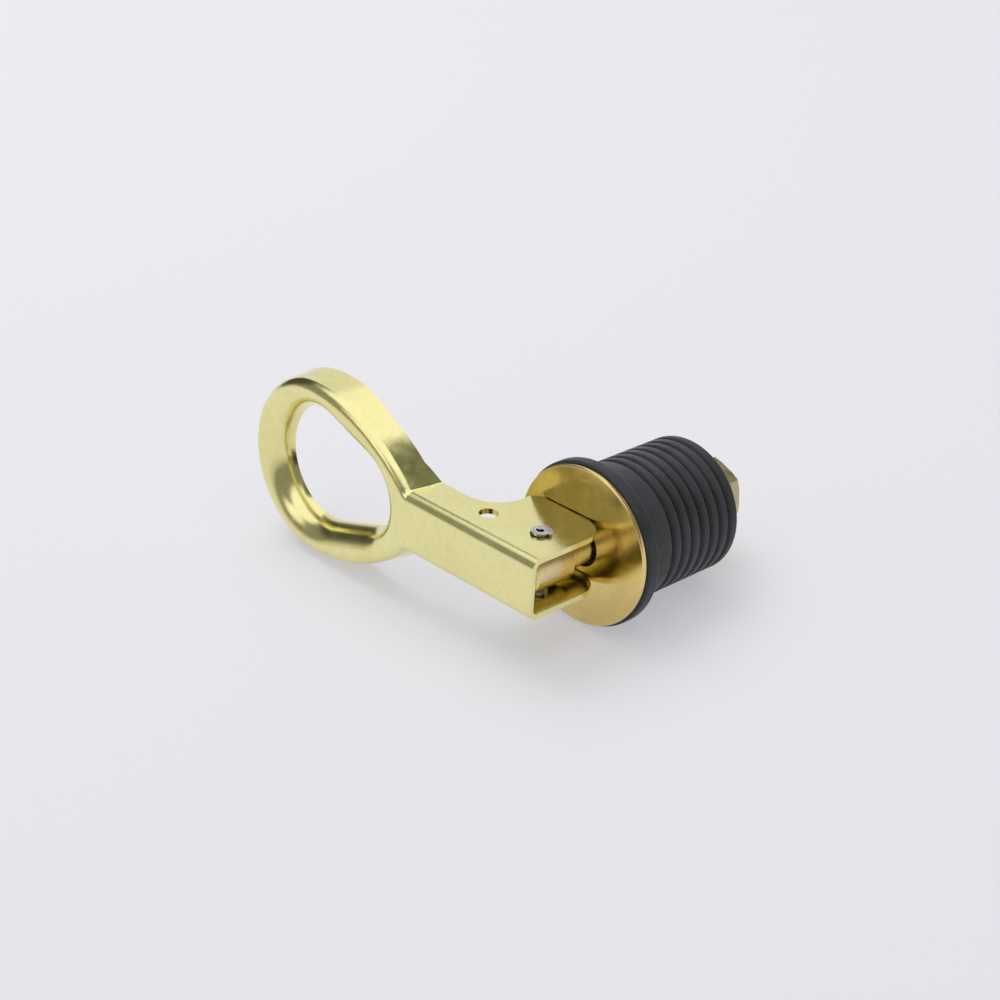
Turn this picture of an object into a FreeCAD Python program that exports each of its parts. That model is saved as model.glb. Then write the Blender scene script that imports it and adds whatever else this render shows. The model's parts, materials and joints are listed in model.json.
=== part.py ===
import FreeCAD, Part
import math
import os

import Sketcher
from FreeCAD import Placement, Rotation, Vector

# Snap-handle drain plug, millimetres.
# Every piece is drawn about the plug's own axis: +Y runs from the handle to the nut, y = 0 is
# the front face of the front washer, +Z runs along the handle's pin and the loop lies at -X.
# At the end the whole plug is laid down as it comes to rest: on the flange's edge, the far rim
# of the rubber and the loop of the handle.

doc = FreeCAD.newDocument("DrainPlug")

# How near counts as the same place when an edge or a face is picked, and how finely the
# handle is faceted and how often a search is halved when the plug is laid down
NEAR = 1e-4
ALMOST = 1e-3
SKIN_FACETS = 0.02
SEARCHES = 60
WIDEST_ROLL = 15.0

# Sizes, each written once
SIZES = [
    # rubber
    ("body_radius", 12.7),
    ("flange_radius", 15.28),
    ("flange_depth", 2.7),
    ("flange_bevel", 0.45),
    ("rubber_length", 26.5),
    ("end_bevel", 0.4),
    ("groove_first", 9.3),
    ("groove_pitch", 2.5),
    ("groove_count", 7),
    ("groove_width", 0.9),
    ("groove_depth", 0.6),
    # washers
    ("washer_radius", 14.78),
    ("washer_sheet", 1.0),
    ("washer_bevel", 0.2),
    ("washer_play", 0.65),
    ("rear_washer_radius", 10.8),
    ("rear_washer_play", 0.2),
    # eye bolt and nut
    ("shank_radius", 3.1),
    ("shank_play", 0.1),
    ("shank_beyond_nut", 0.9),
    ("shank_chamfer", 0.5),
    ("barrel_radius", 4.3),
    ("barrel_ahead", 4.5),
    ("barrel_behind", 4.9),
    ("barrel_chamfer", 0.45),
    ("nut_flats", 11.1),
    ("nut_height", 7.9),
    ("nut_chamfer", 0.7),
    ("nut_turn", 38.0),
    ("thread_play", 0.05),
    # spring pin
    ("pin_radius", 1.95),
    ("pin_length", 14.0),
    ("pin_strip", 0.42),
    ("pin_slit", 0.08),
    ("pin_play", 0.05),
    ("pin_seat", 0.02),
    # handle: sheet, channel and cam
    ("sheet", 1.0),
    ("channel_width", 11.7),
    ("bend_radius", 2.0),
    ("cam_reach", 10.05),
    ("cam_short_reach", 6.3),
    ("cam_corner", 5.2),
    ("cam_play", 0.3),
    ("web_reach", 8.35),
    ("heel_reach", 11.3),
    ("heel_round", 2.0),
    ("hollow_radius", 6.9),
    ("neck_depth", 8.2),
    ("lanyard_reach", 11.0),
    ("lanyard_setback", 1.85),
    ("lanyard_radius", 1.75),
    # handle: finger loop
    ("loop_reach", 52.0),
    ("loop_radius", 16.75),
    ("arm_bow", 36.0),
    ("crease_reach", 25.8),
    ("crease_round", 0.75),
    ("loop_draft", 5.5),
    ("loop_tilt", 1.7),
    ("tilt_setback", 0.7),
    ("tilt_blend", 60.0),
    ("loop_depth", 8.3),
    ("arm_depth", 6.9),
    ("neck_fade", 2.2),
    ("arm_length", 9.0),
    ("loop_fade", 9.0),
    ("rim_width", 5.55),
    ("hole_setback", 0.34),
    ("hole_tip_from_crease", 14.0),
    ("hole_tip_radius", 7.45),
    ("lip_depth", 5.4),
    ("lip_round", 3.2),
]

# What follows from them, so that the pieces fit
RULES = [
    ("pin_y", "=-cam_reach - cam_play"),
    ("web_y", "=pin_y - web_reach"),
    ("ear_y", "=-cam_play"),
    ("half_width", "=channel_width / 2"),
    ("stop_width", "=half_width / 4"),
    ("washer_hole", "=shank_radius + washer_play"),
    ("rubber_y", "=washer_sheet"),
    ("rubber_end_y", "=washer_sheet + rubber_length"),
    ("rubber_bore", "=shank_radius + shank_play"),
    ("rear_washer_hole", "=shank_radius + rear_washer_play"),
    ("nut_y", "=rubber_end_y + washer_sheet"),
    ("nut_end_y", "=nut_y + nut_height"),
    ("nut_bore", "=shank_radius + thread_play"),
    ("nut_corner", "=nut_flats / sqrt(3)"),
    ("nut_corner_x", "=nut_corner * cos(nut_turn)"),
    ("shank_end_y", "=nut_end_y + shank_beyond_nut"),
    ("barrel_y", "=pin_y - barrel_ahead"),
    ("neck_y", "=pin_y + barrel_behind"),
    ("cross_hole", "=pin_radius + pin_play"),
    ("ear_hole", "=pin_radius + pin_seat"),
    ("neck_edge_y", "=web_y + neck_depth"),
    ("arm_edge_y", "=web_y + arm_depth"),
    ("loop_edge_y", "=web_y + loop_depth"),
    ("hole_radius", "=loop_radius - rim_width"),
    ("hole_reach", "=loop_reach - hole_setback"),
    ("hole_tip_reach", "=crease_reach + hole_tip_from_crease"),
    ("tilt_reach", "=crease_reach + tilt_setback"),
    ("tilt_line", "=tilt_reach + tilt_blend * tan(loop_tilt / 2)"),
    ("loop_plane_y", "=web_y - tilt_line * tan(loop_tilt)"),
    ("loop_end_x", "=-loop_reach - 2 * loop_radius"),
    ("loop_end_y", "=loop_plane_y - loop_end_x * tan(loop_tilt)"),
    ("arm_from_x", "=-crease_reach - neck_fade"),
    ("arm_to_x", "=arm_from_x - arm_length"),
    ("loop_from_x", "=arm_to_x - loop_fade"),
    ("hollow_x", "=-heel_reach - hollow_radius"),
    ("hollow_y", "=neck_edge_y + hollow_radius"),
]

sizes = doc.addObject("Spreadsheet::Sheet", "Sizes")
for row, (alias, value) in enumerate(SIZES + RULES, start=1):
    sizes.set("A%d" % row, alias)
    sizes.set("B%d" % row, str(value))
    sizes.setAlias("B%d" % row, alias)
doc.recompute()


def size(alias):
    return float(getattr(sizes, alias))


def cells(expression):
    """Write the aliases of an expression as cells of the sheet."""
    names = sorted((alias for alias, value in SIZES + RULES), key=len, reverse=True)
    words = expression.replace("(", " ( ").replace(")", " ) ").split()
    return " ".join("Sizes." + word if word in names else word for word in words)


def value_of(expression):
    """The number that an expression gives with the present sizes."""
    known = {alias: size(alias) for alias, value in SIZES + RULES}
    total = 0.0
    for term in expression.replace("- ", "+ -").split("+"):
        factor = 1.0
        divide = False
        for word in term.replace("-", " - ").split():
            if word == "-":
                factor = -factor
            elif word in ("*", "/"):
                divide = word == "/"
            else:
                number = known[word] if word in known else float(word)
                factor = factor / number if divide else factor * number
        if term.strip():
            total += factor
    return total


def bind(thing, path, expression):
    thing.setExpression(path, cells(expression))


def piece(label):
    body = doc.addObject("PartDesign::Body", label)
    body.Label = label
    return body


def sketch_on(body, role, name, offset=None):
    """A sketch on one of the body's own origin planes, shifted along its normal."""
    sketch = body.newObject("Sketcher::SketchObject", name)
    plane = [item for item in body.Origin.OriginFeatures if item.Role == role][0]
    sketch.AttachmentSupport = [(plane, "")]
    sketch.MapMode = "FlatFace"
    if offset:
        bind(sketch, "AttachmentOffset.Base.z", offset)
    return sketch


def sketch_on_loop(body, name):
    """A sketch on the loop's own plane, which leans back from the web's."""
    sketch = sketch_on(body, "XZ_Plane", name)
    sketch.AttachmentOffset = Placement(
        Vector(0, 0, -size("loop_plane_y")), Rotation(Vector(0, -1, 0), size("loop_tilt")))
    bind(sketch, "AttachmentOffset.Base.z", "- loop_plane_y")
    bind(sketch, "AttachmentOffset.Rotation.Angle", "loop_tilt")
    return sketch


def fix(sketch, kind, *where, expression):
    """A dimension of the sketch, tied to an expression of the sheet."""
    number = sketch.addConstraint(Sketcher.Constraint(kind, *where, value_of(expression)))
    bind(sketch, "Constraints[%d]" % number, expression)


def fix_point(sketch, geometry, end, across, along):
    """Place one end of a geometry by its two coordinates; 0 means on the axis."""
    if across == "0":
        sketch.addConstraint(Sketcher.Constraint("PointOnObject", geometry, end, -2))
    else:
        fix(sketch, "DistanceX", -1, 1, geometry, end, expression=across)
    if along == "0":
        sketch.addConstraint(Sketcher.Constraint("PointOnObject", geometry, end, -1))
    else:
        fix(sketch, "DistanceY", -1, 1, geometry, end, expression=along)


def outline(sketch, corners):
    """A closed outline of straight edges through corners given as expressions."""
    points = [Vector(value_of(x) if x != "0" else 0, value_of(y) if y != "0" else 0, 0)
              for x, y in corners]
    count = len(points)
    first = sketch.GeometryCount
    for i in range(count):
        sketch.addGeometry(Part.LineSegment(points[i], points[(i + 1) % count]), False)
    for i in range(count):
        following = first + (i + 1) % count
        sketch.addConstraint(Sketcher.Constraint("Coincident", first + i, 2, following, 1))
    for i, (x, y) in enumerate(corners):
        fix_point(sketch, first + i, 1, x, y)


def circle(sketch, across, along, radius):
    centre = Vector(value_of(across) if across != "0" else 0,
                    value_of(along) if along != "0" else 0, 0)
    number = sketch.addGeometry(Part.Circle(centre, Vector(0, 0, 1), value_of(radius)), False)
    fix_point(sketch, number, 3, across, along)
    fix(sketch, "Radius", number, expression=radius)
    return number


def revolve(body, sketch, name, kind="Revolution"):
    turned = body.newObject("PartDesign::" + kind, name)
    turned.Profile = sketch
    turned.ReferenceAxis = (sketch, ["V_Axis"])
    turned.Angle = 360
    doc.recompute()
    return turned


def extrude(body, sketch, name, kind, length=None, reverse=False, both=False):
    made = body.newObject("PartDesign::" + kind, name)
    made.Profile = sketch
    made.Reversed = reverse
    if length:
        bind(made, "Length", length)
    else:
        made.Type = "ThroughAll"
    made.Midplane = both
    doc.recompute()
    return made


def dress(body, kind, name, base, wanted, amount):
    """Round or bevel the edges of the base that the test picks."""
    edges = ["Edge%d" % (i + 1) for i, edge in enumerate(base.Shape.Edges) if wanted(edge)]
    if not edges:
        raise RuntimeError("no edges for " + name)
    made = body.newObject("PartDesign::" + kind, name)
    made.Base = (base, edges)
    bind(made, "Radius" if kind == "Fillet" else "Size", amount)
    doc.recompute()
    return made


def ring_at(along, radius):
    """Test for the round edge at this place along the axis and of this radius."""
    def wanted(edge):
        curve = edge.Curve
        return (isinstance(curve, Part.Circle)
                and abs(curve.Center.y - value_of(along)) < NEAR
                and abs(curve.Radius - value_of(radius)) < NEAR)
    return wanted


def any_of(*tests):
    return lambda edge: any(test(edge) for test in tests)


# Rubber: flange, ribbed body and the bore for the shank
rubber = piece("rubber_plug")
profile = sketch_on(rubber, "XY_Plane", "RubberProfile")
outline(profile, [
    ("rubber_bore", "rubber_y"),
    ("flange_radius", "rubber_y"),
    ("flange_radius", "rubber_y + flange_depth"),
    ("body_radius", "rubber_y + flange_depth"),
    ("body_radius", "rubber_end_y"),
    ("rubber_bore", "rubber_end_y"),
])
moulded = revolve(rubber, profile, "RubberTurned")
eased = dress(rubber, "Chamfer", "FlangeBevels", moulded, any_of(
    ring_at("rubber_y", "flange_radius"),
    ring_at("rubber_y + flange_depth", "flange_radius")), "flange_bevel")
dress(rubber, "Chamfer", "EndBevel", eased, ring_at("rubber_end_y", "body_radius"), "end_bevel")
cut = sketch_on(rubber, "XY_Plane", "GrooveProfile")
outline(cut, [
    ("body_radius - groove_depth", "rubber_y + groove_first"),
    ("body_radius + groove_depth", "rubber_y + groove_first - groove_width"),
    ("body_radius + groove_depth", "rubber_y + groove_first + groove_width"),
])
groove = revolve(rubber, cut, "FirstGroove", "Groove")
ribs = rubber.newObject("PartDesign::LinearPattern", "Grooves")
ribs.Originals = [groove]
ribs.Direction = (cut, ["V_Axis"])
ribs.Mode = "Spacing"
bind(ribs, "Offset", "groove_pitch")
bind(ribs, "Occurrences", "groove_count")
rubber.Tip = ribs
doc.recompute()


# Washers: plain discs with the sharp edge taken off both rims
def washer(label, start, radius, hole):
    body = piece(label)
    shape = sketch_on(body, "XY_Plane", label + "_profile")
    outline(shape, [
        (hole, start),
        (radius, start),
        (radius, start + " + washer_sheet"),
        (hole, start + " + washer_sheet"),
    ])
    disc = revolve(body, shape, label + "_disc")
    dress(body, "Chamfer", label + "_rim", disc, any_of(
        ring_at(start, radius), ring_at(start + " + washer_sheet", radius)), "washer_bevel")
    return body


front_washer = washer("front_washer", "0", "washer_radius", "washer_hole")
rear_washer = washer("rear_washer", "rubber_end_y", "rear_washer_radius", "rear_washer_hole")

# Eye bolt: cross-drilled barrel between the ears, then the shank
bolt = piece("eye_bolt")
shape = sketch_on(bolt, "XY_Plane", "BoltProfile")
outline(shape, [
    ("0", "barrel_y"),
    ("barrel_radius", "barrel_y"),
    ("barrel_radius", "neck_y"),
    ("shank_radius", "neck_y"),
    ("shank_radius", "shank_end_y"),
    ("0", "shank_end_y"),
])
turned = revolve(bolt, shape, "BoltTurned")
bevelled = dress(bolt, "Chamfer", "BarrelBevels", turned, any_of(
    ring_at("barrel_y", "barrel_radius"), ring_at("neck_y", "barrel_radius")),
    "barrel_chamfer")
dress(bolt, "Chamfer", "ShankPoint", bevelled, ring_at("shank_end_y", "shank_radius"),
      "shank_chamfer")
drill = sketch_on(bolt, "XY_Plane", "CrossHole")
circle(drill, "0", "pin_y", "cross_hole")
extrude(bolt, drill, "CrossDrilled", "Pocket", both=True)

# Nut: hexagon with both faces bevelled
nut = piece("hex_nut")
hexagon = sketch_on(nut, "XZ_Plane", "NutHexagon", "- nut_y")
corners = []
for corner in range(6):
    turn = math.radians(size("nut_turn") + 60 * corner)
    corners.append(Vector(math.cos(turn), math.sin(turn), 0) * size("nut_corner"))
for corner in range(6):
    hexagon.addGeometry(Part.LineSegment(corners[corner], corners[(corner + 1) % 6]), False)
rim = hexagon.addGeometry(Part.Circle(Vector(), Vector(0, 0, 1), size("nut_corner")), True)
hexagon.addConstraint(Sketcher.Constraint("Coincident", rim, 3, -1, 1))
fix(hexagon, "Radius", rim, expression="nut_corner")
for corner in range(6):
    hexagon.addConstraint(
        Sketcher.Constraint("Coincident", corner, 2, (corner + 1) % 6, 1))
    hexagon.addConstraint(Sketcher.Constraint("PointOnObject", corner, 1, rim))
for corner in range(1, 6):
    hexagon.addConstraint(Sketcher.Constraint("Equal", 0, corner))
fix(hexagon, "DistanceX", -1, 1, 0, 1, expression="nut_corner_x")
circle(hexagon, "0", "0", "nut_bore")
extrude(nut, hexagon, "NutPrism", "Pad", "nut_height", reverse=True)
bevel = sketch_on(nut, "XY_Plane", "NutBevel")
outline(bevel, [
    ("nut_corner - nut_chamfer", "nut_y"),
    ("nut_corner + nut_chamfer", "nut_y"),
    ("nut_corner + nut_chamfer", "nut_y + nut_chamfer"),
])
revolve(nut, bevel, "NutFrontBevel", "Groove")
bevel = sketch_on(nut, "XY_Plane", "NutRearProfile")
outline(bevel, [
    ("nut_corner - nut_chamfer", "nut_end_y"),
    ("nut_corner + nut_chamfer", "nut_end_y - nut_chamfer"),
    ("nut_corner + nut_chamfer", "nut_end_y"),
])
revolve(nut, bevel, "NutRearBevel", "Groove")

# Spring pin: a strip rolled up twice and a half, drawn as half turns about two centres
pin = piece("pivot_pin")
coil = sketch_on(pin, "XY_Plane", "PinCoil")
HALF_TURNS = 5
step = size("pin_strip") + size("pin_slit")
radii = [size("pin_radius") - step / 2 * i for i in range(HALF_TURNS)]
centres = [Vector(-step / 2 * (i % 2), size("pin_y"), 0) for i in range(HALF_TURNS)]
outer = []
inner = []
for i in range(HALF_TURNS):
    start, end = (0, math.pi) if i % 2 == 0 else (math.pi, 2 * math.pi)
    for half_turns, radius in ((outer, radii[i]), (inner, radii[i] - size("pin_strip"))):
        arc = Part.ArcOfCircle(Part.Circle(centres[i], Vector(0, 0, 1), radius), start, end)
        half_turns.append(coil.addGeometry(arc, False))
for arcs, narrower in ((outer, ""), (inner, " - pin_strip")):
    for i in range(HALF_TURNS):
        shift = " - pin_strip / 2 - pin_slit / 2"
        fix_point(coil, arcs[i], 3, "0" if i % 2 == 0 else shift.strip(), "pin_y")
        fix(coil, "Radius", arcs[i], expression="pin_radius" + shift * i + narrower)
    for i in range(HALF_TURNS):
        for end in (1, 2):
            fix(coil, "DistanceY", -1, 1, arcs[i], end, expression="pin_y")
mouth = coil.addGeometry(Part.LineSegment(
    Vector(radii[0] - size("pin_strip"), size("pin_y"), 0),
    Vector(radii[0], size("pin_y"), 0)), False)
coil.addConstraint(Sketcher.Constraint("Coincident", mouth, 1, inner[0], 1))
coil.addConstraint(Sketcher.Constraint("Coincident", mouth, 2, outer[0], 1))
far = (radii[-1] + centres[-1].x) * (-1 if HALF_TURNS % 2 else 1)
heart = coil.addGeometry(Part.LineSegment(
    Vector(far, size("pin_y"), 0),
    Vector(far + size("pin_strip"), size("pin_y"), 0)), False)
coil.addConstraint(Sketcher.Constraint("Coincident", heart, 1, outer[-1], 2))
coil.addConstraint(Sketcher.Constraint("Coincident", heart, 2, inner[-1], 2))
doc.recompute()
extrude(pin, coil, "PinRolled", "Pad", "pin_length", both=True)

# Handle: the pressed block that the sheet is drawn over
handle = piece("handle")
loop = sketch_on_loop(handle, "LoopOutline")
mid = Vector(-size("loop_reach"), 0, 0)
crease = Vector(-size("crease_reach"), size("half_width"), 0)
# The arm's arc touches the loop's circle from inside and passes through the crease.
lean = math.radians(90)
for trial in range(SEARCHES):
    middle = mid - Vector(math.cos(lean), math.sin(lean), 0) * (
        size("arm_bow") - size("loop_radius"))
    lean += ((crease - middle).Length - size("arm_bow")) / size("arm_bow")
touch = mid + Vector(math.cos(lean), math.sin(lean), 0) * size("loop_radius")
# Past the crease it runs on inside the channel, until it is near the middle.
stop_y = size("stop_width")
stop_x = middle.x + math.sqrt(size("arm_bow") ** 2 - (stop_y - middle.y) ** 2)
stop_turn = math.atan2(stop_y - middle.y, stop_x - middle.x)
flip = Vector(middle.x, -middle.y, 0)
up = Vector(0, 0, 1)
loop.addGeometry(Part.ArcOfCircle(Part.Circle(middle, up, size("arm_bow")),
                                  stop_turn, lean), False)
loop.addGeometry(Part.ArcOfCircle(Part.Circle(mid, up, size("loop_radius")),
                                  lean, 2 * math.pi - lean), False)
loop.addGeometry(Part.ArcOfCircle(Part.Circle(flip, up, size("arm_bow")),
                                  2 * math.pi - lean, 2 * math.pi - stop_turn), False)
loop.addGeometry(Part.LineSegment(Vector(stop_x, -stop_y, 0), Vector(stop_x, stop_y, 0)), False)
loop.addGeometry(Part.Point(crease), True)
loop.addConstraint(Sketcher.Constraint("Tangent", 0, 2, 1, 1))
loop.addConstraint(Sketcher.Constraint("Tangent", 1, 2, 2, 1))
loop.addConstraint(Sketcher.Constraint("Coincident", 2, 2, 3, 1))
loop.addConstraint(Sketcher.Constraint("Coincident", 3, 2, 0, 1))
loop.addConstraint(Sketcher.Constraint("Equal", 0, 2))
loop.addConstraint(Sketcher.Constraint("Symmetric", 0, 1, 2, 2, -1))
fix_point(loop, 1, 3, "- loop_reach", "0")
fix(loop, "Radius", 1, expression="loop_radius")
fix(loop, "Radius", 0, expression="arm_bow")
fix_point(loop, 4, 1, "- crease_reach", "half_width")
loop.addConstraint(Sketcher.Constraint("PointOnObject", 4, 1, 0))
fix(loop, "DistanceY", -1, 1, 0, 1, expression="stop_width")
doc.recompute()
loop_block = extrude(handle, loop, "LoopBlock", "Pad", "web_reach + cam_reach + sheet",
                     reverse=True)


def numbered(shape, test):
    """The names of the faces that the test picks."""
    return ["Face%d" % number for number, face in enumerate(shape.Faces, start=1) if test(face)]


# The loop's walls flare towards the rear, as drawn sheet leaves its die.
flat_faces = [face for face in loop_block.Shape.Faces if isinstance(face.Surface, Part.Plane)]
front_y = min(face.CenterOfMass.y for face in flat_faces)
flare = handle.newObject("PartDesign::Draft", "LoopFlare")
flare.Base = (loop_block, numbered(
    loop_block.Shape, lambda face: not isinstance(face.Surface, Part.Plane)))
flare.NeutralPlane = (loop_block, numbered(
    loop_block.Shape, lambda face: abs(face.CenterOfMass.y - front_y) < NEAR))
flare.Reversed = True
bind(flare, "Angle", "loop_draft")
doc.recompute()
flare.touch()
doc.recompute()

channel = sketch_on(handle, "XZ_Plane", "ChannelOutline", "- web_y")
outline(channel, [
    ("arm_from_x", "- half_width"),
    ("cam_short_reach", "- half_width"),
    ("cam_short_reach", "half_width"),
    ("arm_from_x", "half_width"),
])
block = extrude(handle, channel, "ChannelBlock", "Pad", "web_reach + cam_reach", reverse=True)

# The front: flat along the channel, then leaning back over the loop
front = sketch_on(handle, "XY_Plane", "FrontLean")
tilt = math.radians(size("loop_tilt"))
blend = Vector(-size("tilt_reach"), size("web_y") + size("tilt_blend"), 0)
meet = blend - Vector(math.sin(tilt), math.cos(tilt), 0) * size("tilt_blend")
clear_y = size("web_y") - size("cam_reach")
bends = [
    meet,
    Vector(size("loop_end_x"), size("loop_end_y"), 0),
    Vector(size("loop_end_x"), clear_y, 0),
    Vector(0, clear_y, 0),
    Vector(0, size("web_y"), 0),
    Vector(-size("tilt_reach"), size("web_y"), 0),
]
front.addGeometry(Part.ArcOfCircle(Part.Circle(blend, up, size("tilt_blend")),
                                   1.5 * math.pi - tilt, 1.5 * math.pi), False)
for start, end in zip(bends, bends[1:]):
    front.addGeometry(Part.LineSegment(start, end), False)
last = len(bends) - 1
front.addConstraint(Sketcher.Constraint("Tangent", 0, 1, 1, 1))
for i in range(1, last):
    front.addConstraint(Sketcher.Constraint("Coincident", i, 2, i + 1, 1))
front.addConstraint(Sketcher.Constraint("Tangent", last, 2, 0, 2))
fix_point(front, 0, 3, "- tilt_reach", "web_y + tilt_blend")
fix(front, "Radius", 0, expression="tilt_blend")
fix_point(front, 2, 1, "loop_end_x", "loop_end_y")
fix_point(front, 3, 1, "loop_end_x", "web_y - cam_reach")
fix_point(front, 4, 1, "0", "web_y - cam_reach")
fix_point(front, 5, 1, "0", "web_y")
doc.recompute()
extrude(handle, front, "FrontLeanCut", "Pocket", both=True)
behind = sketch_on(handle, "XZ_Plane", "BehindOutline", "- ear_y")
outline(behind, [
    ("loop_end_x", "- loop_reach"),
    ("0", "- loop_reach"),
    ("0", "loop_reach"),
    ("loop_end_x", "loop_reach"),
])
leaned = extrude(handle, behind, "BehindCut", "Pocket")


def on_front(point):
    """Whether a point lies on the front of the web or the loop."""
    back = 0.0
    if point.x < meet.x:
        back = meet.y - size("web_y") + (meet.x - point.x) * math.tan(tilt)
    elif point.x < blend.x:
        back = size("tilt_blend") - math.sqrt(
            size("tilt_blend") ** 2 - (blend.x - point.x) ** 2)
    return abs(point.y - size("web_y") - back) < ALMOST


def upright(edge):
    """An edge that runs along the plug's axis beside the crease."""
    ends = [vertex.Point for vertex in edge.Vertexes]
    return (len(ends) == 2 and abs(ends[0].y - ends[1].y) > size("web_reach")
            and all(abs(abs(p.z) - size("half_width")) < ALMOST for p in ends)
            and all(p.x < -size("crease_reach") / 2 for p in ends))


creased = dress(handle, "Fillet", "Creases", leaned, upright, "crease_round")


def front_rim(edge):
    """An edge of the front face, apart from the channel's open end."""
    points = [edge.valueAt(edge.FirstParameter), edge.valueAt(edge.LastParameter),
              edge.valueAt((edge.FirstParameter + edge.LastParameter) / 2)]
    return (all(on_front(p) for p in points)
            and not all(abs(p.x - points[0].x) < NEAR for p in points))


folded = dress(handle, "Fillet", "FoldLine", creased, front_rim, "bend_radius")

# The dish round the finger hole, pressed in from the front
dish = sketch_on_loop(handle, "HoleOutline")


def finger_hole(sketch):
    """The egg-shaped outline: a large arc, a small one and their two tangents."""
    gap = size("hole_reach") - size("hole_tip_reach")
    slope = math.acos((size("hole_radius") - size("hole_tip_radius")) / gap)
    big = Vector(-size("hole_reach"), 0, 0)
    small = Vector(-size("hole_tip_reach"), 0, 0)
    ray = Vector(math.cos(slope), math.sin(slope), 0)
    mirrored = Vector(ray.x, -ray.y, 0)
    start = [big + ray * size("hole_radius"), small + ray * size("hole_tip_radius")]
    end = [small + mirrored * size("hole_tip_radius"), big + mirrored * size("hole_radius")]
    sketch.addGeometry(Part.ArcOfCircle(Part.Circle(big, up, size("hole_radius")),
                                        slope, 2 * math.pi - slope), False)
    sketch.addGeometry(Part.LineSegment(end[1], end[0]), False)
    sketch.addGeometry(Part.ArcOfCircle(Part.Circle(small, up, size("hole_tip_radius")),
                                        -slope, slope), False)
    sketch.addGeometry(Part.LineSegment(start[1], start[0]), False)
    sketch.addConstraint(Sketcher.Constraint("Tangent", 0, 2, 1, 1))
    sketch.addConstraint(Sketcher.Constraint("Tangent", 1, 2, 2, 1))
    sketch.addConstraint(Sketcher.Constraint("Tangent", 2, 2, 3, 1))
    sketch.addConstraint(Sketcher.Constraint("Tangent", 3, 2, 0, 1))
    fix_point(sketch, 0, 3, "- hole_reach", "0")
    fix_point(sketch, 2, 3, "- hole_tip_reach", "0")
    fix(sketch, "Radius", 0, expression="hole_radius")
    fix(sketch, "Radius", 2, expression="hole_tip_radius")


finger_hole(dish)
doc.recompute()
pressed = extrude(handle, dish, "Dish", "Pocket", "lip_depth")


def dish_rim(edge):
    """An edge of the dish where it meets the front face."""
    middle = edge.valueAt((edge.FirstParameter + edge.LastParameter) / 2)
    from_hole = Vector(middle.x + size("hole_reach"), 0, middle.z).Length
    from_tip = Vector(middle.x + size("hole_tip_reach"), 0, middle.z).Length
    return (on_front(middle)
            and middle.x < -size("crease_reach")
            and min(from_hole - size("hole_radius"),
                    from_tip - size("hole_tip_radius")) < size("sheet") / 2)


rolled_lip = dress(handle, "Fillet", "LipRound", pressed, dish_rim, "lip_round")

# The sheet itself: the block hollowed from its rear face and its open end


def left_open(face):
    """The rear of the block, and its end across the channel."""
    centre = face.CenterOfMass
    return isinstance(face.Surface, Part.Plane) and (
        abs(centre.y - size("ear_y")) < NEAR
        or abs(centre.x - size("cam_short_reach")) < NEAR)


shell = handle.newObject("PartDesign::Thickness", "Sheet")
shell.Base = (rolled_lip, numbered(rolled_lip.Shape, left_open))
shell.Reversed = True
shell.Join = 0
bind(shell, "Value", "sheet")
doc.recompute()

# Rear edges of the loop, the neck and the ears, seen along the pin
rear = sketch_on(handle, "XY_Plane", "RearEdges")
corners = [
    ("loop_end_x", "cam_reach"),
    ("loop_end_x", "loop_edge_y"),
    ("loop_from_x", "loop_edge_y"),
    ("arm_to_x", "arm_edge_y"),
    ("arm_from_x", "arm_edge_y"),
    ("- crease_reach + 2 * crease_round", "neck_edge_y"),
    ("hollow_x", "neck_edge_y"),
    ("- heel_reach", "hollow_y"),
    ("- heel_reach", "ear_y - heel_round"),
    ("- heel_reach + heel_round", "ear_y"),
    ("- heel_reach + heel_round", "cam_reach"),
]
points = [Vector(value_of(x), value_of(y), 0) for x, y in corners]
HOLLOW = corners.index(("hollow_x", "neck_edge_y"))
HEEL = corners.index(("- heel_reach", "ear_y - heel_round"))
for i, start in enumerate(points):
    end = points[(i + 1) % len(points)]
    if i == HOLLOW:
        centre = Vector(value_of("hollow_x"), value_of("hollow_y"), 0)
        arc = Part.Circle(centre, up, size("hollow_radius"))
        rear.addGeometry(Part.ArcOfCircle(arc, 1.5 * math.pi, 2 * math.pi), False)
    elif i == HEEL:
        centre = Vector(end.x, start.y, 0)
        arc = Part.Circle(centre, up, size("heel_round"))
        rear.addGeometry(Part.ArcOfCircle(arc, math.pi / 2, math.pi), False)
    else:
        rear.addGeometry(Part.LineSegment(start, end), False)


def first_end(i):
    """The heel's arc runs backwards, so its ends are swapped."""
    return 2 if i == HEEL else 1


for i in range(len(points)):
    following = (i + 1) % len(points)
    rear.addConstraint(Sketcher.Constraint(
        "Coincident", i, 3 - first_end(i), following, first_end(following)))
for i, (x, y) in enumerate(corners):
    if i not in (HOLLOW + 1, HEEL + 1):
        fix_point(rear, i, first_end(i), x, y)
fix_point(rear, HOLLOW, 3, "hollow_x", "hollow_y")
fix(rear, "DistanceY", -1, 1, HOLLOW + 1, 1, expression="hollow_y")
fix_point(rear, HEEL, 3, "- heel_reach + heel_round", "ear_y - heel_round")
fix(rear, "DistanceX", -1, 1, HEEL + 1, 1, expression="- heel_reach + heel_round")
doc.recompute()
trimmed = extrude(handle, rear, "RearTrim", "Pocket", both=True)


def cam_edge(edge):
    """The corner of an ear between its seat and its end."""
    ends = [vertex.Point for vertex in edge.Vertexes]
    return len(ends) == 2 and all(abs(p.y - size("ear_y")) < NEAR
                                  and abs(p.x - size("cam_short_reach")) < NEAR for p in ends)


dress(handle, "Fillet", "CamCorners", trimmed, cam_edge, "cam_corner")

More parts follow.
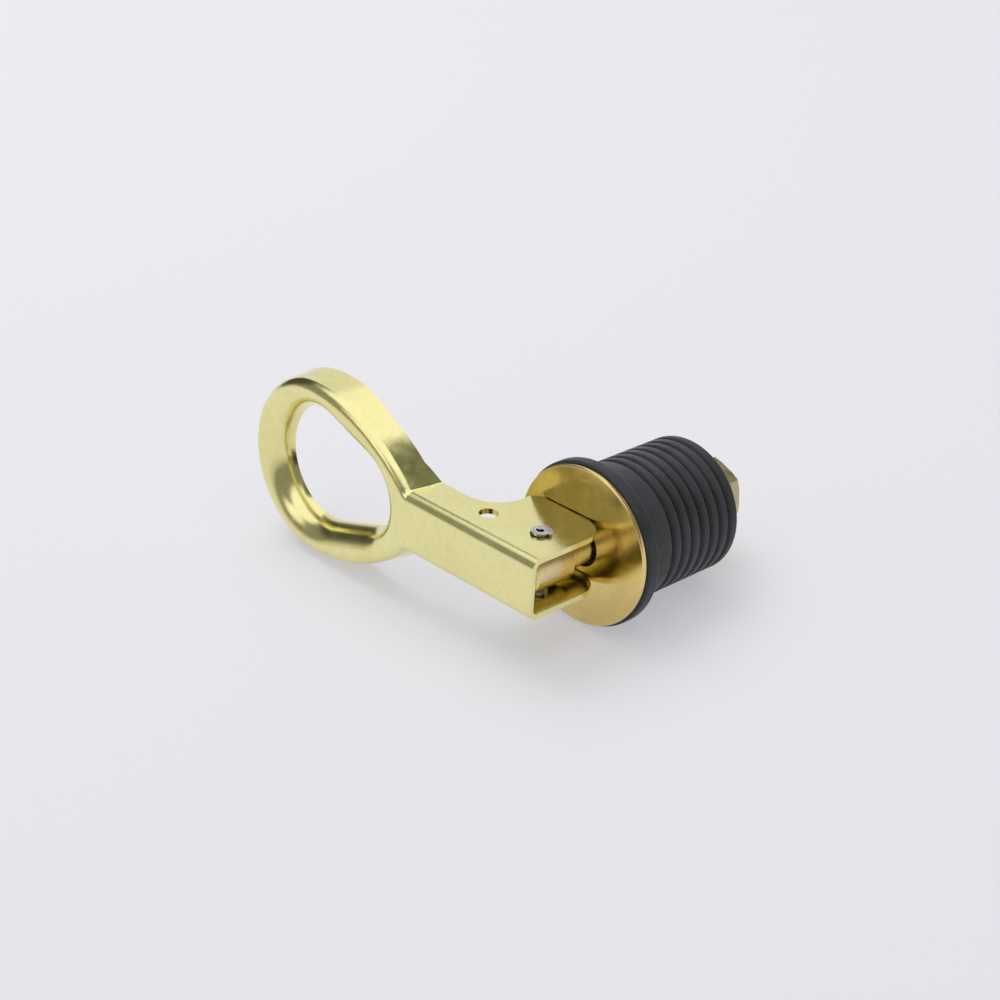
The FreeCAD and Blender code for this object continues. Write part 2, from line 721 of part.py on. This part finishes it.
# Finger hole through the bottom of the dish, then the holes across both ears
opening = sketch_on_loop(handle, "FingerHole")
finger_hole(opening)
doc.recompute()
extrude(handle, opening, "FingerHoleCut", "Pocket")
across = sketch_on(handle, "XY_Plane", "EarHoles")
circle(across, "0", "pin_y", "ear_hole")
circle(across, "- lanyard_reach", "pin_y - lanyard_setback", "lanyard_radius")
extrude(handle, across, "EarHolesCut", "Pocket", both=True)
doc.recompute()

# Laid down: the plug dips towards its narrower end and rolls until the loop touches too
pieces = [rubber, front_washer, rear_washer, bolt, nut, pin, handle]
flange_y = size("rubber_y") + size("flange_depth") - size("flange_bevel")
end_y = size("rubber_end_y") - size("end_bevel")
dip = math.atan2(size("flange_radius") - size("body_radius"), end_y - flange_y)
floor = -flange_y * math.sin(dip) - size("flange_radius") * math.cos(dip)
skin = handle.Shape.tessellate(SKIN_FACETS)[0]
dipped = Rotation(Vector(1, 0, 0), -math.degrees(dip))


def lowest(roll):
    turn = dipped.multiply(Rotation(Vector(0, 1, 0), roll))
    return min(turn.multVec(point).z for point in skin)


low, high = -WIDEST_ROLL, WIDEST_ROLL
for trial in range(SEARCHES):
    roll = (low + high) / 2
    low, high = (roll, high) if lowest(roll) < floor else (low, roll)
turn = dipped.multiply(Rotation(Vector(0, 1, 0), roll))
for item in pieces:
    item.Placement = Placement(Vector(), turn)
doc.recompute()
box = FreeCAD.BoundBox()
for item in pieces:
    box.add(item.Shape.optimalBoundingBox(False))
shift = Vector(-box.Center.x, -box.Center.y, -box.ZMin)
for item in pieces:
    item.Placement = Placement(shift, turn)
doc.recompute()

for item in doc.Objects:
    if "Invalid" in item.State or "Error" in item.State:
        raise RuntimeError("failed: " + item.Name)
os.makedirs("parts", exist_ok=True)
for item in pieces:
    shape = item.Shape
    if shape.isNull() or not shape.isValid() or len(shape.Solids) != 1:
        raise RuntimeError("bad shape: " + item.Label)
    shape.exportStep("parts/" + item.Label + ".step")
    print(item.Label, "volume", round(shape.Volume, 2))
print("dip", round(math.degrees(dip), 4), "roll", round(roll, 4))
print("shift", [round(number, 5) for number in shift])
print("box", [round(number, 3) for number in (box.XLength, box.YLength, box.ZLength)])
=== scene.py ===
import json
import math

import bmesh
import bpy
from mathutils import Matrix, Vector


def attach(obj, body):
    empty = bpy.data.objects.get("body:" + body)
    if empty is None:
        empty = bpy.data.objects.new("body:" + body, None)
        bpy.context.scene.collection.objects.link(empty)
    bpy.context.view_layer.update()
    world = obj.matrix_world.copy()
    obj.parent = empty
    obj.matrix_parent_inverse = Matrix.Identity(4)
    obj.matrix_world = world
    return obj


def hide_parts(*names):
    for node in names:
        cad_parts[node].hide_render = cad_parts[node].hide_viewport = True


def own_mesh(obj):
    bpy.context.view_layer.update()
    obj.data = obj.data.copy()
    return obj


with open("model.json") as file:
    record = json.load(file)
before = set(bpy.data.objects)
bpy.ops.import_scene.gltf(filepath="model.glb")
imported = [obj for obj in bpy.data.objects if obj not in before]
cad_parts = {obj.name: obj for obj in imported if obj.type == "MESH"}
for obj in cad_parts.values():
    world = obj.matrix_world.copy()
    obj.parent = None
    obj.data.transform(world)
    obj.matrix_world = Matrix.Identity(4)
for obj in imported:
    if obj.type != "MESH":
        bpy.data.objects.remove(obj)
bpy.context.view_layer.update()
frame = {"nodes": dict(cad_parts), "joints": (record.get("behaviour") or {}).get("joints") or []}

MM = 0.001

# The plug's own frame: +Y from the handle to the nut, y = 0 on the front washer's face,
# +Z along the handle's pin, the finger loop at -X. Sizes below are in millimetres in it,
# unless a comment says otherwise, and all angles are in degrees.
joints = {joint["name"]: joint for joint in frame["joints"]}
along = Vector(joints["stem_turn"]["axis"]).normalized()
pinward = Vector(joints["handle_pivot"]["axis"]).normalized()
side = along.cross(pinward).normalized()
plug = Matrix((side, along, pinward)).transposed().to_4x4()
plug.translation = Vector(joints["stem_turn"]["pos_m"])

# Rubber; the depth of a groove falls off from its middle by a power
BORE = 3.2
BODY = 12.7
FLANGE = 15.27
FLANGE_DEPTH = 2.7
RUBBER_FRONT = 1.0
RUBBER_LENGTH = 26.5
FLANGE_ROUND = 0.55
ROOT_ROUND = 0.6
END_ROUND = 0.5
GROOVE_FIRST = 9.3
GROOVE_PITCH = 2.5
GROOVE_COUNT = 7
GROOVE_HALF_WIDTH = 0.7
GROOVE_DEPTH = 0.75
GROOVE_POWER = 1.7
GROOVE_STEPS = 8

# Washers
SHEET = 1.0
WASHER = 14.78
WASHER_HOLE = 3.75
REAR_WASHER = 10.8
REAR_WASHER_HOLE = 3.3
RIM_ROUND = 0.28
HOLE_ROUND = 0.12
HOLE_ROUND_STEPS = 4

# Thread at the end of the bolt's shank; its flank is steeper than 1, which leaves a flat crest
SHANK = 3.1
SHANK_END = 37.29
SHANK_CHAMFER = 0.5
THREAD_PITCH = 1.27
THREAD_DEPTH = 0.42
THREAD_FROM = 22.0
THREAD_RUN_IN = 2 * THREAD_PITCH
THREAD_FLANK = 1.15
THREAD_ROWS_PER_TURN = 16

# Each end of the spring pin lies this much further in than the solid's
PIN_INSET = 0.55

# Finger hole: a large circle, a small one and their tangents, on the loop's leaning face
HOLE = 11.2
HOLE_TIP = 7.45
HOLE_REACH = 51.66
HOLE_TIP_REACH = 39.8
HOLE_STEPS = 112
HOLE_TIP_STEPS = 56
LOOP_TILT = 1.7
LOOP_PLANE = -19.513

# The hole's lip: how far its roll reaches over the face and down the wall, where it ends, and
# how wide the rest of the solid's lip is cleared away behind that end
LIP_ACROSS = 5.0
LIP_DEEP = 5.15
LIP_END = 5.3
LIP_CLEAR = 1.6
LIP_STEPS = 14

# The cutter bites in by a skim, so that none of its faces lies on one of the solid's, and runs
# past the sheet at both ends. Points of the solid's mesh closer than WELD metres become one.
LIP_SKIM = 0.03
CUTTER_AHEAD = 1.0
CUTTER_BEHIND = 4.0
WELD = 1e-6

# Points round a turned piece, steps in an arc, and the angles from which an edge is sharp
AROUND = 192
THREAD_AROUND = AROUND // 2
ARC_STEPS = 8
CREASE = 30
BOLT_CREASE = 40
PIN_CREASE = 35
HANDLE_CREASE = 28

# Camera: 79 mm lens, about 0.39 m away, above and to the side of the handle
LENS = 79.09
SENSOR = 36
CLIP_START = 0.01
CAMERA_PLACE = (224.298, -254.648, 179.730)
CAMERA_RIGHT = (0.6984, 0.7131, 0.0605)
CAMERA_UP = (-0.3613, 0.2783, 0.8900)

# Floor and key lamp, in metres and watts; FLOOR_SHARE is how much of what is seen of the floor
# is its own even tone, so that the shadow stays light
FLOOR_HALF = 3.0
FLOOR_COLOUR = (0.80, 0.795, 0.83)
FLOOR_TONE = (0.807, 0.799, 0.839)
FLOOR_SHARE = 0.52
KEY_PLACE = (-0.42, 0.05, 0.76)
KEY_TARGET = (0, 0, 0.01)
KEY_SIZE = 0.6
KEY_POWER = 3.2

# What the brass mirrors. Heights are sines of the elevation, a low and a high one, between
# which one tone passes into the next. A patch is a tone, the azimuth and elevation of its
# middle, the angle within which it is full and the angle at which it has faded out.
HORIZON = (0.64, 0.63, 0.60)
ROOM = (0.26, 0.255, 0.235)
ROOM_HEIGHTS = (0.08, 0.20)
CEILING = (1.12, 1.12, 1.14)
CEILING_HEIGHTS = (0.70, 0.83)
WALL_PATCHES = (
    ((0.07, 0.07, 0.06), 176, 18, 15, 34),
    ((0.82, 0.82, 0.84), 108, 10, 38, 43),
    ((1.12, 1.12, 1.12), -106, 38, 10, 20),
    ((1.10, 1.10, 1.12), 115, 56, 17, 22))
DARK_PATCHES = (
    ((0.12, 0.13, 0.09), 60, 48, 9, 15),
    ((0.20, 0.20, 0.17), 93, 36, 8, 13))

# The part of a noise's values that is spread over a material's two tones, or over its gloss,
# and the way along which a seed moves a noise
TONE_RANGE = (0.35, 0.7)
GLOSS_RANGE = (0.3, 0.7)
SEED_WAY = (1.0, 0.7, -1.0)

# Brass: the darkest spots against its deeper tone, and the most that they cover
TARNISH = 0.85
TARNISH_COVER = 0.35


def at(x, y, z):
    """A point of the plug's frame, in metres in the row frame."""
    return plug @ (Vector((x, y, z)) * MM)


def place_camera():
    """The photo's view."""
    data = bpy.data.cameras.new("Camera")
    data.lens = LENS
    data.sensor_width = SENSOR
    data.clip_start = CLIP_START
    camera = bpy.data.objects.new("Camera", data)
    bpy.context.scene.collection.objects.link(camera)
    right = Vector(CAMERA_RIGHT)
    back = right.cross(Vector(CAMERA_UP)).normalized()
    up = back.cross(right).normalized()
    look = Matrix((right, up, back)).transposed().to_4x4()
    look.translation = Vector(CAMERA_PLACE) * MM
    camera.matrix_world = plug @ look
    bpy.context.scene.camera = camera


place_camera()


class Shader:
    """A node material, or the world's nodes, built up by short calls."""

    def __init__(self, name, owner=None):
        self.material = owner or bpy.data.materials.new(name)
        self.material.use_nodes = True
        self.tree = self.material.node_tree
        self.surface = self.tree.nodes.get("Principled BSDF")
        coordinates = self.add("ShaderNodeTexCoord")
        self.place = coordinates.outputs["Generated" if owner else "Object"]

    def add(self, kind, **values):
        node = self.tree.nodes.new(kind)
        for key, value in values.items():
            setattr(node, key, value)
        return node

    def link(self, source, target):
        self.tree.links.new(source, target)

    def noise(self, scale, detail, rough, stretch=None, seed=0.0):
        """Noise with so many waves to a metre."""
        place = self.place
        if stretch or seed:
            mapping = self.add("ShaderNodeMapping")
            self.link(place, mapping.inputs["Vector"])
            mapping.inputs["Scale"].default_value = stretch or (1, 1, 1)
            mapping.inputs["Location"].default_value = [seed * step for step in SEED_WAY]
            place = mapping.outputs["Vector"]
        node = self.add("ShaderNodeTexNoise")
        self.link(place, node.inputs["Vector"])
        node.inputs["Scale"].default_value = scale
        node.inputs["Detail"].default_value = detail
        node.inputs["Roughness"].default_value = rough
        return node.outputs["Fac"]

    def cells(self, scale):
        """The distance to the nearest of many scattered points."""
        node = self.add("ShaderNodeTexVoronoi")
        self.link(self.place, node.inputs["Vector"])
        node.inputs["Scale"].default_value = scale
        return node.outputs["Distance"]

    def ramp(self, value, *stops):
        """Grey levels by value, from two stops of a value and a level."""
        node = self.add("ShaderNodeValToRGB")
        self.link(value, node.inputs["Fac"])
        for element, (place, level) in zip(node.color_ramp.elements, stops):
            element.position = place
            element.color = (level, level, level, 1)
        return node.outputs["Color"]

    def span(self, value, low, high, start=0.0, end=1.0, smooth=False):
        """low where the value is at the start or below, high where it is at the end or above."""
        node = self.add("ShaderNodeMapRange")
        if smooth:
            node.interpolation_type = "SMOOTHSTEP"
        self.link(value, node.inputs["Value"])
        node.inputs["From Min"].default_value = start
        node.inputs["From Max"].default_value = end
        node.inputs["To Min"].default_value = low
        node.inputs["To Max"].default_value = high
        return node.outputs["Result"]

    def mix(self, first, second, share):
        """Two colours, each a tuple or a socket, mixed by the second's share."""
        node = self.add("ShaderNodeMix", data_type="RGBA")
        colours = [socket for socket in node.inputs if socket.type == "RGBA"]
        factor = [socket for socket in node.inputs if socket.type == "VALUE"][0]
        for socket, value in ((factor, share), (colours[0], first), (colours[1], second)):
            if isinstance(value, bpy.types.NodeSocket):
                self.link(value, socket)
            else:
                socket.default_value = (*value, 1)
        return [socket for socket in node.outputs if socket.type == "RGBA"][0]

    def toward(self, azimuth, elevation, inner, outer):
        """1 within the inner angle of a direction, falling to 0 at the outer."""
        turn, rise = math.radians(azimuth), math.radians(elevation)
        node = self.add("ShaderNodeVectorMath", operation="DOT_PRODUCT")
        self.link(self.place, node.inputs[0])
        node.inputs[1].default_value = (
            math.cos(rise) * math.cos(turn), math.cos(rise) * math.sin(turn), math.sin(rise))
        return self.span(node.outputs["Value"], 0.0, 1.0, math.cos(math.radians(outer)),
                         math.cos(math.radians(inner)), smooth=True)

    def height(self):
        """The sine of the direction's elevation."""
        node = self.add("ShaderNodeSeparateXYZ")
        self.link(self.place, node.inputs["Vector"])
        return node.outputs["Z"]

    def bump(self, *layers):
        """Bumps on top of each other; each layer is a height, a strength and a depth."""
        normal = None
        for height, strength, depth in layers:
            node = self.add("ShaderNodeBump")
            node.inputs["Strength"].default_value = strength
            node.inputs["Distance"].default_value = depth * MM
            self.link(height, node.inputs["Height"])
            if normal:
                self.link(normal, node.inputs["Normal"])
            normal = node.outputs["Normal"]
        self.link(normal, self.surface.inputs["Normal"])

    def set(self, **values):
        """Inputs of the surface by their names, with _ for a space."""
        for key, value in values.items():
            socket = self.surface.inputs[key.replace("_", " ")]
            if isinstance(value, bpy.types.NodeSocket):
                self.link(value, socket)
            elif isinstance(value, tuple):
                socket.default_value = (*value, 1)
            else:
                socket.default_value = value


def brass(name, light, deep, smoothest, roughest, seed, peel=0.25, marks=0.0):
    """Polished sheet or turned brass: uneven gloss and tone, faint ripples, small pits."""
    shader = Shader(name)
    broad = shader.noise(90, 3, 0.5, seed=seed)
    mottle = shader.noise(900, 4, 0.65, seed=seed + 1)
    fine = shader.noise(2600, 4, 0.6, seed=seed)
    pits = shader.cells(1500)
    colour = shader.mix(light, deep, shader.span(broad, 0.0, 1.0, *TONE_RANGE))
    tarnish = tuple(TARNISH * share for share in deep)
    colour = shader.mix(colour, tarnish, shader.span(mottle, 0.0, TARNISH_COVER, 0.45, 0.75))
    gloss = shader.noise(420, 5, 0.6, seed=seed + 3)
    shader.set(Base_Color=colour, Metallic=1.0,
               Roughness=shader.span(gloss, smoothest, roughest, *GLOSS_RANGE))
    ripples = shader.noise(260, 2, 0.4, seed=seed)
    layers = [(fine, peel, 0.02), (mottle, peel, 0.03), (ripples, 0.3, 0.06),
              (shader.ramp(pits, (0.0, 0.0), (0.1, 1.0)), 0.12, 0.02)]
    if marks:
        rings = shader.noise(2200, 3, 0.6, stretch=(0.02, 0.02, 1), seed=seed)
        layers.append((rings, marks, 0.04))
    shader.bump(*layers)
    return shader.material


def steel():
    """The spring pin: grey rolled strip."""
    shader = Shader("pin_steel")
    broad = shader.noise(500, 3, 0.5)
    colour = shader.mix((0.74, 0.72, 0.70), (0.56, 0.54, 0.53),
                        shader.span(broad, 0.0, 1.0, *TONE_RANGE))
    gloss = shader.noise(1500, 4, 0.6)
    shader.set(Base_Color=colour, Metallic=1.0,
               Roughness=shader.span(gloss, 0.18, 0.30, *GLOSS_RANGE))
    shader.bump((shader.noise(3000, 3, 0.5), 0.12, 0.02))
    return shader.material


def rubber():
    """Moulded black rubber: soft sheen, fine grain, convex edges lightened as part edge wear and
    part painted highlight, a few pale specks of dust.
    """
    shader = Shader("rubber")
    broad = shader.noise(160, 4, 0.55)
    colour = shader.mix((0.024, 0.0265, 0.030), (0.040, 0.0435, 0.049),
                        shader.span(broad, 0.0, 1.0, *TONE_RANGE))
    # Convex edges (rib lips, flange rim) get a paler colour: partly edge wear, partly a painted
    # highlight along the ribs
    edges = shader.add("ShaderNodeNewGeometry").outputs["Pointiness"]
    colour = shader.mix(colour, (0.085, 0.090, 0.098), shader.span(edges, 0.0, 0.6, 0.51, 0.57))
    specks = shader.ramp(shader.noise(2400, 2, 0.5), (0.70, 0.0), (0.76, 1.0))
    colour = shader.mix(colour, (0.14, 0.135, 0.13), specks)
    gloss = shader.noise(600, 4, 0.6)
    shader.set(Base_Color=colour, Metallic=0.0, Specular_IOR_Level=0.30,
               Roughness=shader.span(gloss, 0.36, 0.52, *GLOSS_RANGE))
    shader.bump((shader.noise(3500, 4, 0.6), 0.25, 0.03), (shader.noise(420, 3, 0.5), 0.2, 0.06))
    return shader.material


handle_brass = brass("handle_brass", (0.90, 0.85, 0.42), (0.86, 0.79, 0.35), 0.13, 0.24,
                     seed=1.0, peel=0.35)
washer_brass = brass("washer_brass", (0.84, 0.67, 0.28), (0.76, 0.58, 0.21), 0.15, 0.26,
                     seed=2.0, peel=0.08)
bolt_brass = brass("bolt_brass", (0.84, 0.72, 0.40), (0.76, 0.62, 0.30), 0.16, 0.30,
                   seed=4.0, marks=0.45)
nut_brass = brass("nut_brass", (0.64, 0.56, 0.32), (0.42, 0.36, 0.20), 0.20, 0.36, seed=6.0)
pin_steel = steel()
black_rubber = rubber()

for node, material in (("handle", handle_brass), ("front_washer", washer_brass),
                       ("rear_washer", washer_brass), ("eye_bolt", bolt_brass),
                       ("hex_nut", nut_brass), ("pivot_pin", pin_steel),
                       ("rubber_plug", black_rubber)):
    mesh = frame["nodes"][node].data
    mesh.materials.clear()
    mesh.materials.append(material)


# Pieces that take the place of solids, with what the solids leave out
def bridge(shape, ring, following):
    """Quads between two closed rings that have as many points."""
    for i in range(len(ring)):
        k = (i + 1) % len(ring)
        shape.faces.new((ring[i], ring[k], following[k], following[i]))


def new_piece(name, shape, material, crease=CREASE):
    """An object made of a bmesh, smooth but for its sharp edges."""
    mesh = bpy.data.meshes.new(name)
    bmesh.ops.recalc_face_normals(shape, faces=shape.faces)
    shape.to_mesh(mesh)
    shape.free()
    mesh.shade_smooth()
    mesh.set_sharp_from_angle(angle=math.radians(crease))
    mesh.materials.append(material)
    piece = bpy.data.objects.new(name, mesh)
    bpy.context.scene.collection.objects.link(piece)
    return piece


def applied(piece):
    """Turn a piece's modifiers into its mesh."""
    graph = bpy.context.evaluated_depsgraph_get()
    mesh = bpy.data.meshes.new_from_object(piece.evaluated_get(graph))
    piece.modifiers.clear()
    piece.data = mesh


def arc(centre_r, centre_y, radius, start, end, steps=ARC_STEPS):
    """Points (r, y) on an arc; angles from +r towards +y."""
    turns = [math.radians(start + (end - start) * i / steps) for i in range(steps + 1)]
    return [(centre_r + radius * math.cos(t), centre_y + radius * math.sin(t)) for t in turns]


def turned(name, profile, material, body, node):
    """A closed outline of (r, y) points, turned about the plug's axis."""
    shape = bmesh.new()
    rings = []
    for i in range(AROUND):
        turn = 2 * math.pi * i / AROUND
        rings.append([shape.verts.new(at(r * math.cos(turn), y, r * math.sin(turn)))
                      for r, y in profile])
    for ring, following in zip(rings, rings[1:] + rings[:1]):
        bridge(shape, ring, following)
    piece = new_piece(name, shape, material)
    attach(piece, body)
    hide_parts(node)
    return piece


def rubber_profile():
    back = RUBBER_FRONT + FLANGE_DEPTH
    end = RUBBER_FRONT + RUBBER_LENGTH
    points = [(BORE, RUBBER_FRONT)]
    points += arc(FLANGE - FLANGE_ROUND, RUBBER_FRONT + FLANGE_ROUND, FLANGE_ROUND, -90, 0)
    points += arc(FLANGE - FLANGE_ROUND, back - FLANGE_ROUND, FLANGE_ROUND, 0, 90)
    points += arc(BODY + ROOT_ROUND, back + ROOT_ROUND, ROOT_ROUND, 270, 180)
    for number in range(GROOVE_COUNT):
        middle = RUBBER_FRONT + GROOVE_FIRST + GROOVE_PITCH * number
        for step in range(-GROOVE_STEPS, GROOVE_STEPS + 1):
            share = step / GROOVE_STEPS
            sunk = GROOVE_DEPTH * (1 - abs(share)) ** GROOVE_POWER
            points.append((BODY - sunk, middle + GROOVE_HALF_WIDTH * share))
    points += arc(BODY - END_ROUND, end - END_ROUND, END_ROUND, 0, 90)
    points.append((BORE, end))
    return points


def washer_profile(start, radius, hole):
    end = start + SHEET
    points = arc(radius - RIM_ROUND, start + RIM_ROUND, RIM_ROUND, -90, 0)
    points += arc(radius - RIM_ROUND, end - RIM_ROUND, RIM_ROUND, 0, 90)
    points += arc(hole + HOLE_ROUND, end - HOLE_ROUND, HOLE_ROUND, 90, 180, HOLE_ROUND_STEPS)
    points += arc(hole + HOLE_ROUND, start + HOLE_ROUND, HOLE_ROUND, 180, 270, HOLE_ROUND_STEPS)
    return points


ribbed = turned("ribbed_rubber", rubber_profile(), black_rubber, "plug", "rubber_plug")
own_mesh(ribbed)
front_disc = turned("front_disc", washer_profile(0, WASHER, WASHER_HOLE), washer_brass,
                    "plug", "front_washer")
rear_disc = turned("rear_disc", washer_profile(RUBBER_FRONT + RUBBER_LENGTH, REAR_WASHER,
                                               REAR_WASHER_HOLE),
                   washer_brass, "nut", "rear_washer")


def threaded_bolt():
    """The solid's barrel and plain shank, with a thread cut on the shank's last stretch."""
    shape = bmesh.new()
    shape.from_mesh(frame["nodes"]["eye_bolt"].data)
    bmesh.ops.bisect_plane(
        shape, geom=list(shape.verts) + list(shape.edges) + list(shape.faces),
        plane_co=at(0, THREAD_FROM, 0), plane_no=along, clear_outer=True)
    rows = []
    count = round((SHANK_END - THREAD_FROM) / THREAD_PITCH * THREAD_ROWS_PER_TURN)
    for row in range(count + 1):
        y = THREAD_FROM + (SHANK_END - THREAD_FROM) * row / count
        fade = min(1.0, (y - THREAD_FROM) / THREAD_RUN_IN)
        tip = SHANK - max(0.0, y - (SHANK_END - SHANK_CHAMFER))
        ring = []
        for i in range(THREAD_AROUND):
            turn = 2 * math.pi * i / THREAD_AROUND
            # From -1 to 1 over a pitch, with 0 at the bottom of the thread
            phase = ((y / THREAD_PITCH + turn / (2 * math.pi)) % 1.0) * 2 - 1
            cut = THREAD_DEPTH * fade * max(0.0, 1 - abs(phase) * THREAD_FLANK)
            r = min(SHANK - cut, tip)
            ring.append(shape.verts.new(at(r * math.cos(turn), y, r * math.sin(turn))))
        rows.append(ring)
    for lower, upper in zip(rows, rows[1:]):
        bridge(shape, lower, upper)
    shape.faces.new(rows[-1])
    piece = new_piece("threaded_bolt", shape, bolt_brass, BOLT_CREASE)
    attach(piece, "bolt")
    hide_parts("eye_bolt")


def spring_pin():
    """The solid's rolled strip with both ends drawn in towards the ears."""
    shape = bmesh.new()
    shape.from_mesh(frame["nodes"]["pivot_pin"].data)
    middle = at(0, 0, 0)
    for vertex in shape.verts:
        reach = (vertex.co - middle).dot(pinward)
        vertex.co -= pinward * math.copysign(PIN_INSET * MM, reach)
    piece = new_piece("spring_pin", shape, pin_steel, PIN_CREASE)
    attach(piece, "handle")
    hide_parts("pivot_pin")


def hole_ring(offset, depth):
    """The finger hole's egg outline, grown by an offset, at a depth behind the loop's face."""
    slope = math.acos((HOLE - HOLE_TIP) / (HOLE_REACH - HOLE_TIP_REACH))
    tilt = math.radians(LOOP_TILT)
    points = []
    for reach, radius, start, end, steps in (
            (HOLE_REACH, HOLE, slope, 2 * math.pi - slope, HOLE_STEPS),
            (HOLE_TIP_REACH, HOLE_TIP, 2 * math.pi - slope, 2 * math.pi + slope,
             HOLE_TIP_STEPS)):
        for step in range(steps + 1):
            turn = start + (end - start) * step / steps
            across = -reach + (radius + offset) * math.cos(turn)
            points.append(at(across * math.cos(tilt) + depth * math.sin(tilt),
                             LOOP_PLANE - across * math.sin(tilt) + depth * math.cos(tilt),
                             (radius + offset) * math.sin(turn)))
    return points


def lip_cutter():
    """A closed funnel down the finger hole, with the lip's wide roll as its flare. The faces
    that it leaves in the sheet take its material."""
    profile = [(LIP_ACROSS + LIP_SKIM, -CUTTER_AHEAD)]
    for step in range(LIP_STEPS + 1):
        turn = math.pi / 2 * step / LIP_STEPS
        profile.append((LIP_SKIM + LIP_ACROSS * (1 - math.sin(turn)),
                        -LIP_SKIM + LIP_DEEP * (1 - math.cos(turn))))
    profile += [(LIP_SKIM, LIP_END), (LIP_CLEAR, LIP_END), (LIP_CLEAR, LIP_END + CUTTER_BEHIND)]
    shape = bmesh.new()
    rings = [[shape.verts.new(point) for point in hole_ring(*entry)] for entry in profile]
    for ring, following in zip(rings, rings[1:]):
        bridge(shape, ring, following)
    shape.faces.new(rings[0])
    shape.faces.new(rings[-1])
    return new_piece("lip_cutter", shape, handle_brass)


def folded_handle():
    """The solid's sheet with the finger hole's lip cut to one wide roll, as far as its edge."""
    shape = bmesh.new()
    shape.from_mesh(frame["nodes"]["handle"].data)
    bmesh.ops.remove_doubles(shape, verts=list(shape.verts), dist=WELD)
    piece = new_piece("folded_handle", shape, handle_brass)
    cutter = lip_cutter()
    cut = piece.modifiers.new("cut", "BOOLEAN")
    cut.operation = "DIFFERENCE"
    cut.solver = "EXACT"
    cut.object = cutter
    applied(piece)
    bpy.data.objects.remove(cutter)
    # The solid's own normals no longer fit, so new ones lean to the larger faces
    custom = piece.data.attributes.get("custom_normal")
    if custom:
        piece.data.attributes.remove(custom)
    piece.data.shade_smooth()
    piece.data.set_sharp_from_angle(angle=math.radians(HANDLE_CREASE))
    even = piece.modifiers.new("even", "WEIGHTED_NORMAL")
    even.keep_sharp = True
    applied(piece)
    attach(piece, "handle")
    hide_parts("handle")


threaded_bolt()
spring_pin()
folded_handle()


def lay_floor():
    """A pale floor with the shadow on it, mixed with its own even tone where it's seen."""
    mesh = bpy.data.meshes.new("floor")
    shape = bmesh.new()
    bmesh.ops.create_grid(shape, x_segments=1, y_segments=1, size=FLOOR_HALF)
    shape.to_mesh(mesh)
    shape.free()
    floor = bpy.data.objects.new("floor", mesh)
    bpy.context.scene.collection.objects.link(floor)
    shader = Shader("floor")
    shader.set(Base_Color=FLOOR_COLOUR, Roughness=0.9, Specular_IOR_Level=0.1)
    seen = shader.add("ShaderNodeLightPath")
    straight = shader.add("ShaderNodeMath", operation="MAXIMUM")
    shader.link(seen.outputs["Is Camera Ray"], straight.inputs[0])
    shader.link(seen.outputs["Is Glossy Ray"], straight.inputs[1])
    either = shader.add("ShaderNodeMath", operation="MAXIMUM")
    shader.link(straight.outputs["Value"], either.inputs[0])
    shader.link(seen.outputs["Is Transmission Ray"], either.inputs[1])
    tone = shader.add("ShaderNodeEmission")
    tone.inputs["Color"].default_value = (*FLOOR_TONE, 1)
    blend = shader.add("ShaderNodeMixShader")
    shader.link(shader.span(either.outputs["Value"], 0.0, FLOOR_SHARE), blend.inputs["Fac"])
    shader.link(shader.surface.outputs["BSDF"], blend.inputs[1])
    shader.link(tone.outputs["Emission"], blend.inputs[2])
    shader.link(blend.outputs["Shader"], shader.tree.nodes["Material Output"].inputs["Surface"])
    mesh.materials.append(shader.material)


def key_lamp():
    """The lamp that throws the soft shadow; the brass doesn't mirror it."""
    data = bpy.data.lights.new("key", "AREA")
    data.shape = "RECTANGLE"
    data.size = KEY_SIZE
    data.size_y = KEY_SIZE
    data.energy = KEY_POWER
    lamp = bpy.data.objects.new("key", data)
    bpy.context.scene.collection.objects.link(lamp)
    lamp.location = KEY_PLACE
    lamp.rotation_euler = (
        Vector(KEY_PLACE) - Vector(KEY_TARGET)).to_track_quat("Z", "Y").to_euler()
    lamp.visible_glossy = False


def studio():
    """A bright ceiling, a darker room near the horizon, a pale backdrop and one window."""
    world = bpy.data.worlds.new("World")
    shader = Shader("World", world)
    height = shader.height()
    room = shader.span(height, 0.0, 1.0, *ROOM_HEIGHTS, smooth=True)
    colour = shader.mix(HORIZON, ROOM, room)
    for tone, *where in WALL_PATCHES:
        colour = shader.mix(colour, tone, shader.toward(*where))
    ceiling = shader.span(height, 0.0, 1.0, *CEILING_HEIGHTS, smooth=True)
    colour = shader.mix(colour, CEILING, ceiling)
    for tone, *where in DARK_PATCHES:
        colour = shader.mix(colour, tone, shader.toward(*where))
    background = world.node_tree.nodes["Background"]
    shader.link(colour, background.inputs["Color"])
    background.inputs["Strength"].default_value = 1.0
    bpy.context.scene.world = world


lay_floor()
key_lamp()
studio()
bpy.context.scene.view_settings.view_transform = "Standard"
